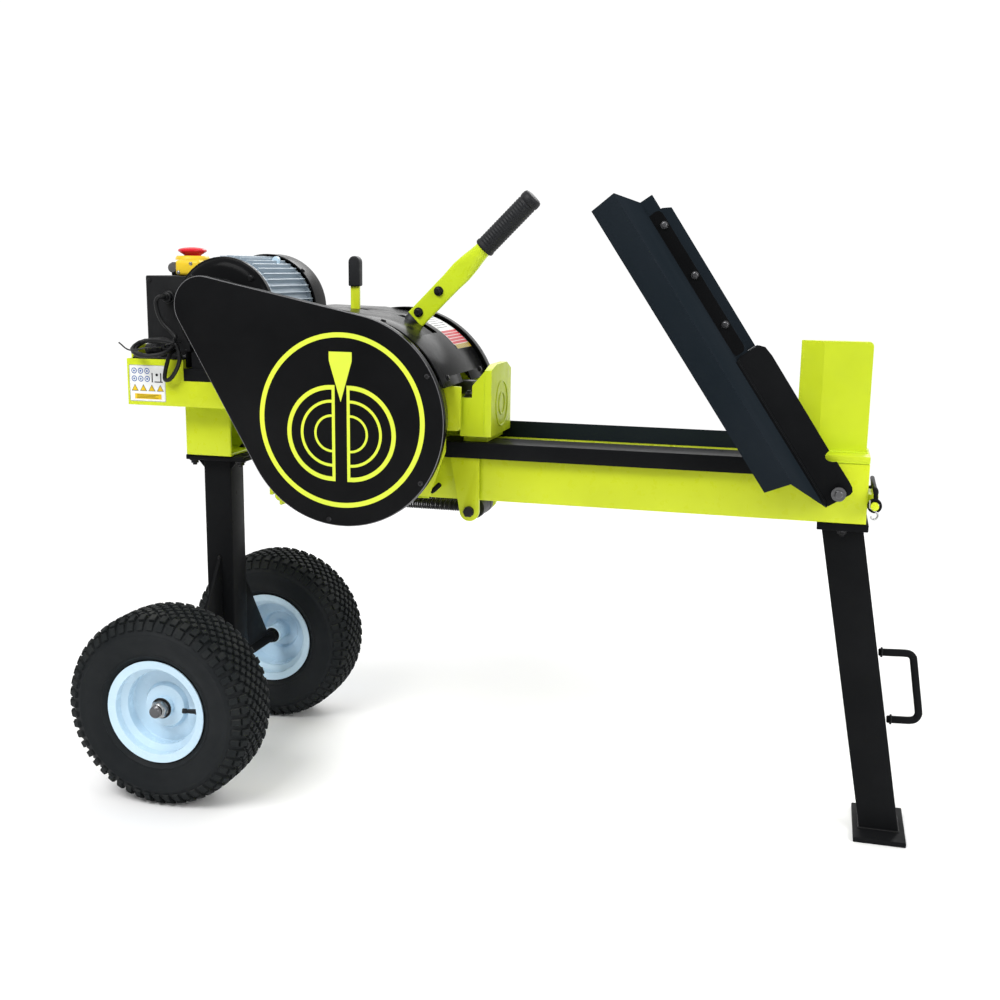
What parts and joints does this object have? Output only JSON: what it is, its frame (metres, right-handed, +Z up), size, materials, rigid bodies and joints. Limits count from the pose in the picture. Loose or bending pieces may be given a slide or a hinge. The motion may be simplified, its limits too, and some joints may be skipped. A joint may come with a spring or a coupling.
{
  "type": "log splitter",
  "caption": "Motor-driven flywheel log splitter: wheeled beam with wedge, sliding ram, belt cover, hood, drive lever, fold-down log tray and front leg.",
  "frame": {"origin": "on the ground straight below the wheel axle, half-way between the two wheels", "axes": "+X along the splitting beam towards the wedge and the front leg, +Y away from the belt cover side, +Z up"},
  "size_m": [1.3744, 0.5886, 1.01],
  "materials": {
    "axle": "satin black powder coat",
    "beam": "gloss lime-yellow enamel",
    "bearing_far": "dark machined metal",
    "bearing_near": "dark machined metal",
    "belt_backplate": "satin black powder coat",
    "belt_cover": "satin black powder coat",
    "cable_gland": "moulded black plastic",
    "cord_plug": "moulded black plastic",
    "drive_belt": "matte rubber",
    "driven_pulley": "dark machined metal",
    "far_guard": "satin black powder coat",
    "flywheel_far": "dark machined metal",
    "flywheel_hood": "satin black powder coat",
    "flywheel_near": "dark machined metal",
    "flywheel_shaft": "dark machined metal",
    "foot_pad": "satin black powder coat",
    "front_leg": "satin black powder coat",
    "guard_lever": "gloss lime-yellow enamel",
    "guard_lever_cap": "ribbed soft rubber",
    "hitch_rod": "gloss lime-yellow enamel",
    "housing_cross_plate": "gloss lime-yellow enamel",
    "housing_plate_far": "gloss lime-yellow enamel",
    "housing_plate_near": "gloss lime-yellow enamel",
    "hub_nut_far": "bright zinc plate",
    "hub_nut_near": "bright zinc plate",
    "leg_handle": "satin black powder coat",
    "lever_cam": "dark machined metal",
    "lever_grip": "ribbed soft rubber",
    "main_lever": "gloss lime-yellow enamel",
    "motor_body": "painted grey cast aluminium",
    "motor_end_bell": "satin black powder coat",
    "motor_fan_cowl": "satin black powder coat",
    "motor_foot": "satin black powder coat",
    "motor_pulley": "dark machined metal",
    "post": "satin black powder coat",
    "post_bracket": "gloss lime-yellow enamel",
    "power_cord": "moulded black plastic",
    "rail_far": "semi-gloss dark slate paint",
    "rail_near": "satin black powder coat",
    "ram_block": "gloss lime-yellow enamel",
    "ram_rack": "dark machined metal",
    "ram_roller": "moulded black plastic",
    "ram_yoke": "gloss lime-yellow enamel",
    "rear_platform": "gloss lime-yellow enamel",
    "return_spring_far": "dark machined metal",
    "return_spring_near": "dark machined metal",
    "rim_far": "pale gloss enamel",
    "rim_near": "pale gloss enamel",
    "stop_button": "gloss red plastic",
    "switch_base": "gloss yellow plastic",
    "switch_box": "moulded black plastic",
    "tow_loop": "satin black powder coat",
    "tray_bracket": "satin black powder coat",
    "tray_pivot": "bright zinc plate",
    "tray_sheet": "semi-gloss dark slate paint",
    "tyre_far": "matte black rubber",
    "tyre_near": "matte black rubber",
    "wedge_base": "gloss lime-yellow enamel",
    "wedge_blade": "gloss lime-yellow enamel"
  },
  "bodies": {
    "base": {"axle": "axle", "beam": "beam", "bearing_far": "bearing_far", "bearing_near": "bearing_near", "belt_backplate": "belt_backplate", "belt_cover": "belt_cover", "cable_gland": "cable_gland", "cord_plug": "cord_plug", "drive_belt": "drive_belt", "far_guard": "far_guard", "flywheel_hood": "flywheel_hood", "foot_pad": "foot_pad", "front_leg": "front_leg", "hitch_rod": "hitch_rod", "housing_cross_plate": "housing_cross_plate", "housing_plate_far": "housing_plate_far", "housing_plate_near": "housing_plate_near", "hub_nut_far": "hub_nut_far", "hub_nut_near": "hub_nut_near", "leg_handle": "leg_handle", "motor_body": "motor_body", "motor_end_bell": "motor_end_bell", "motor_fan_cowl": "motor_fan_cowl", "motor_foot": "motor_foot", "post": "post", "post_bracket": "post_bracket", "power_cord": "power_cord", "rail_far": "rail_far", "rail_near": "rail_near", "rear_platform": "rear_platform", "switch_base": "switch_base", "switch_box": "switch_box", "tray_pivot": "tray_pivot", "wedge_base": "wedge_base", "wedge_blade": "wedge_blade"},
    "wheel_near": {"tyre_near": "tyre_near", "rim_near": "rim_near"},
    "wheel_far": {"tyre_far": "tyre_far", "rim_far": "rim_far"},
    "motor_rotor": {"motor_pulley": "motor_pulley"},
    "flywheels": {"driven_pulley": "driven_pulley", "flywheel_near": "flywheel_near", "flywheel_far": "flywheel_far", "flywheel_shaft": "flywheel_shaft"},
    "ram": {"ram_block": "ram_block", "ram_rack": "ram_rack", "ram_yoke": "ram_yoke", "return_spring_near": "return_spring_near", "return_spring_far": "return_spring_far"},
    "roller": {"ram_roller": "ram_roller"},
    "drive_lever": {"main_lever": "main_lever", "lever_grip": "lever_grip", "lever_cam": "lever_cam"},
    "guard_lever": {"guard_lever": "guard_lever", "guard_lever_cap": "guard_lever_cap"},
    "stop_button": {"stop_button": "stop_button"},
    "tray": {"tray_sheet": "tray_sheet", "tray_bracket": "tray_bracket"},
    "tow_loop": {"tow_loop": "tow_loop"}
  },
  "joints": [
    {"name": "near_wheel_spin", "type": "hinge", "parent": "base", "child": "wheel_near", "pos_m": [0, -0.213, 0.165], "axis": [0, 1, 0], "continuous": true},
    {"name": "far_wheel_spin", "type": "hinge", "parent": "base", "child": "wheel_far", "pos_m": [0, 0.213, 0.165], "axis": [0, 1, 0], "continuous": true},
    {"name": "flywheel_spin", "type": "hinge", "parent": "base", "child": "flywheels", "pos_m": [0.2975, 0, 0.6486], "axis": [0, 1, 0], "continuous": true},
    {"name": "motor_spin", "type": "hinge", "parent": "base", "child": "motor_rotor", "pos_m": [0.06, -0.16, 0.812], "axis": [0, 1, 0], "continuous": true},
    {"name": "ram_slide", "type": "slide", "parent": "base", "child": "ram", "axis": [1, 0, 0], "range_m": [0, 0.41], "stiffness_N_per_m": 300, "springref_m": -0.08, "deforming": ["return_spring_near", "return_spring_far"]},
    {"name": "roller_spin", "type": "hinge", "parent": "ram", "child": "roller", "pos_m": [0.473, 0, 0.4925], "axis": [0, 1, 0], "continuous": true},
    {"name": "drive_lever_pull", "type": "hinge", "parent": "base", "child": "drive_lever", "pos_m": [0.324, 0, 0.7706], "axis": [0, 1, 0], "range_deg": [0, 10], "stiffness_Nm_per_rad": 14, "springref_deg": -17.19},
    {"name": "guard_lever_pull", "type": "hinge", "parent": "base", "child": "guard_lever", "pos_m": [0.2526, 0, 0.765], "axis": [0, 1, 0], "range_deg": [0, 14], "stiffness_Nm_per_rad": 2, "springref_deg": -14.32},
    {"name": "stop_press", "type": "slide", "parent": "base", "child": "stop_button", "axis": [0, 0, -1], "range_m": [0, 0.004], "stiffness_N_per_m": 900, "springref_m": -0.002},
    {"name": "tray_fold", "type": "hinge", "parent": "base", "child": "tray", "pos_m": [1.0566, -0.074, 0.5622], "axis": [0, 1, 0], "range_deg": [-56, 0]},
    {"name": "tow_loop_swing", "type": "hinge", "parent": "base", "child": "tow_loop", "pos_m": [1.1105, 0, 0.543], "axis": [0, 1, 0], "range_deg": [0, 150]}
  ],
  "couplings": [
    {"joint": "motor_spin", "follows": "flywheel_spin", "ratio": 4.2862}
  ]
}
